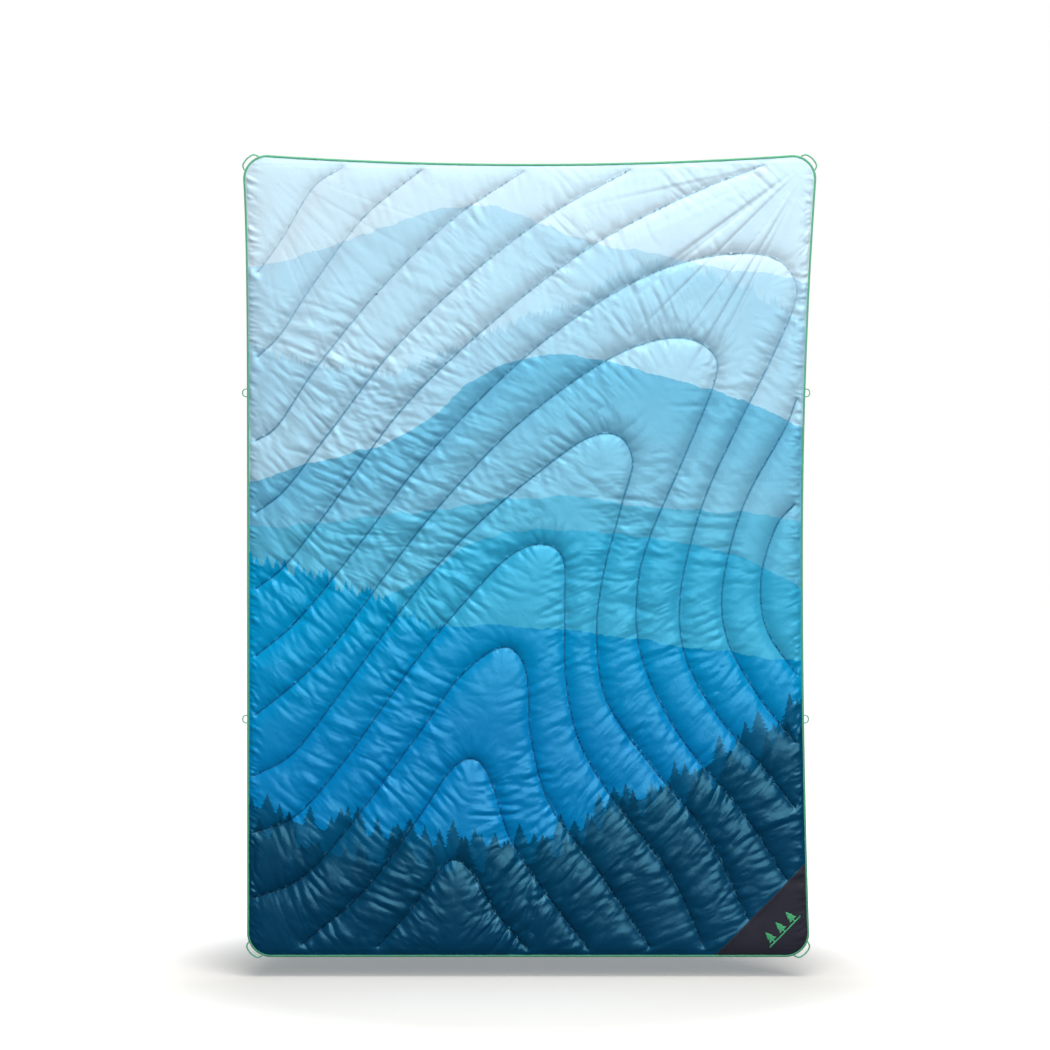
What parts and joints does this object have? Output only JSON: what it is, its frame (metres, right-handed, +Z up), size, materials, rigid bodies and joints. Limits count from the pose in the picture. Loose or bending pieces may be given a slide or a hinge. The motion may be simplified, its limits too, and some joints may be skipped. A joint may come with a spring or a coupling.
{
  "type": "camp blanket",
  "caption": "Quilted insulated camp blanket with nested arch quilting, bound edges, a dark corner patch and cord loops at its corners and sides.",
  "frame": {"origin": "middle of the straight line between the two held top corners", "axes": "+X to the right along the top edge, +Y to the back, +Z up; the printed face looks along -Y"},
  "size_m": [1.3663, 0.022, 1.9094],
  "materials": {
    "face_fabric": "printed satin ripstop polyester",
    "back_fabric": "plain satin ripstop polyester",
    "insulation": "white synthetic fibre batt",
    "binding_tape": "folded woven tape",
    "binding_thread": "matt polyester thread",
    "quilting_thread": "matt polyester thread",
    "patch_fabric": "matt plain-woven polyester",
    "embroidery_thread": "satin-stitched glossy thread",
    "loop_cord": "braided polyester cord"
  },
  "bodies": {
    "blanket": {"back_fabric": "back_fabric", "binding_stitch_back": "binding_thread", "binding_stitch_front": "binding_thread", "corner_patch": "patch_fabric", "edge_binding": "binding_tape", "front_fabric": "face_fabric", "insulation_batt": "insulation", "patch_embroidery": "embroidery_thread", "patch_stitch": "quilting_thread", "quilt_thread_back_arch_1": "quilting_thread", "quilt_thread_back_arch_2": "quilting_thread", "quilt_thread_back_arch_3": "quilting_thread", "quilt_thread_back_arch_4": "quilting_thread", "quilt_thread_back_arch_5": "quilting_thread", "quilt_thread_back_arch_6": "quilting_thread", "quilt_thread_back_arch_7": "quilting_thread", "quilt_thread_back_half_1": "quilting_thread", "quilt_thread_back_half_2": "quilting_thread", "quilt_thread_back_half_3": "quilting_thread", "quilt_thread_back_half_4": "quilting_thread", "quilt_thread_back_half_5": "quilting_thread", "quilt_thread_back_side_1": "quilting_thread", "quilt_thread_back_side_2": "quilting_thread", "quilt_thread_front_arch_1": "quilting_thread", "quilt_thread_front_arch_2": "quilting_thread", "quilt_thread_front_arch_3": "quilting_thread", "quilt_thread_front_arch_4": "quilting_thread", "quilt_thread_front_arch_5": "quilting_thread", "quilt_thread_front_arch_6": "quilting_thread", "quilt_thread_front_arch_7": "quilting_thread", "quilt_thread_front_half_1": "quilting_thread", "quilt_thread_front_half_2": "quilting_thread", "quilt_thread_front_half_3": "quilting_thread", "quilt_thread_front_half_4": "quilting_thread", "quilt_thread_front_half_5": "quilting_thread", "quilt_thread_front_side_1": "quilting_thread", "quilt_thread_front_side_2": "quilting_thread"},
    "corner_loop_bottom_left": {"corner_loop_bottom_left": "loop_cord"},
    "corner_loop_bottom_right": {"corner_loop_bottom_right": "loop_cord"},
    "corner_loop_top_left": {"corner_loop_top_left": "loop_cord"},
    "corner_loop_top_right": {"corner_loop_top_right": "loop_cord"},
    "side_loop_lower_left": {"side_loop_lower_left": "loop_cord"},
    "side_loop_lower_right": {"side_loop_lower_right": "loop_cord"},
    "side_loop_upper_left": {"side_loop_upper_left": "loop_cord"},
    "side_loop_upper_right": {"side_loop_upper_right": "loop_cord"}
  },
  "joints": [
    {"name": "corner_loop_top_left_swing", "type": "hinge", "parent": "blanket", "child": "corner_loop_top_left", "pos_m": [-0.65131, 0, -0.01799], "axis": [-0.7071, 0, -0.7071], "range_deg": [-75, 75], "stiffness_Nm_per_rad": 0.0005},
    {"name": "corner_loop_top_right_swing", "type": "hinge", "parent": "blanket", "child": "corner_loop_top_right", "pos_m": [0.67382, 0, -0.01799], "axis": [-0.7071, 0, 0.7071], "range_deg": [-75, 75], "stiffness_Nm_per_rad": 0.0005},
    {"name": "corner_loop_bottom_left_swing", "type": "hinge", "parent": "blanket", "child": "corner_loop_bottom_left", "pos_m": [-0.64201, 0, -1.88701], "axis": [0.7071, 0, -0.7071], "range_deg": [-75, 75], "stiffness_Nm_per_rad": 0.0005},
    {"name": "corner_loop_bottom_right_swing", "type": "hinge", "parent": "blanket", "child": "corner_loop_bottom_right", "pos_m": [0.6572, 0, -1.88701], "axis": [0.7071, 0, 0.7071], "range_deg": [-75, 75], "stiffness_Nm_per_rad": 0.0005},
    {"name": "side_loop_upper_left_swing", "type": "hinge", "parent": "blanket", "child": "side_loop_upper_left", "pos_m": [-0.66277, 0, -0.565], "axis": [0, 0, 1], "range_deg": [-75, 75], "stiffness_Nm_per_rad": 0.0005},
    {"name": "side_loop_lower_left_swing", "type": "hinge", "parent": "blanket", "child": "side_loop_lower_left", "pos_m": [-0.6623, 0, -1.34], "axis": [0, 0, 1], "range_deg": [-75, 75], "stiffness_Nm_per_rad": 0.0005},
    {"name": "side_loop_upper_right_swing", "type": "hinge", "parent": "blanket", "child": "side_loop_upper_right", "pos_m": [0.66821, 0, -0.565], "axis": [0, 0, 1], "range_deg": [-75, 75], "stiffness_Nm_per_rad": 0.0005},
    {"name": "side_loop_lower_right_swing", "type": "hinge", "parent": "blanket", "child": "side_loop_lower_right", "pos_m": [0.66517, 0, -1.34], "axis": [0, 0, 1], "range_deg": [-75, 75], "stiffness_Nm_per_rad": 0.0005}
  ]
}
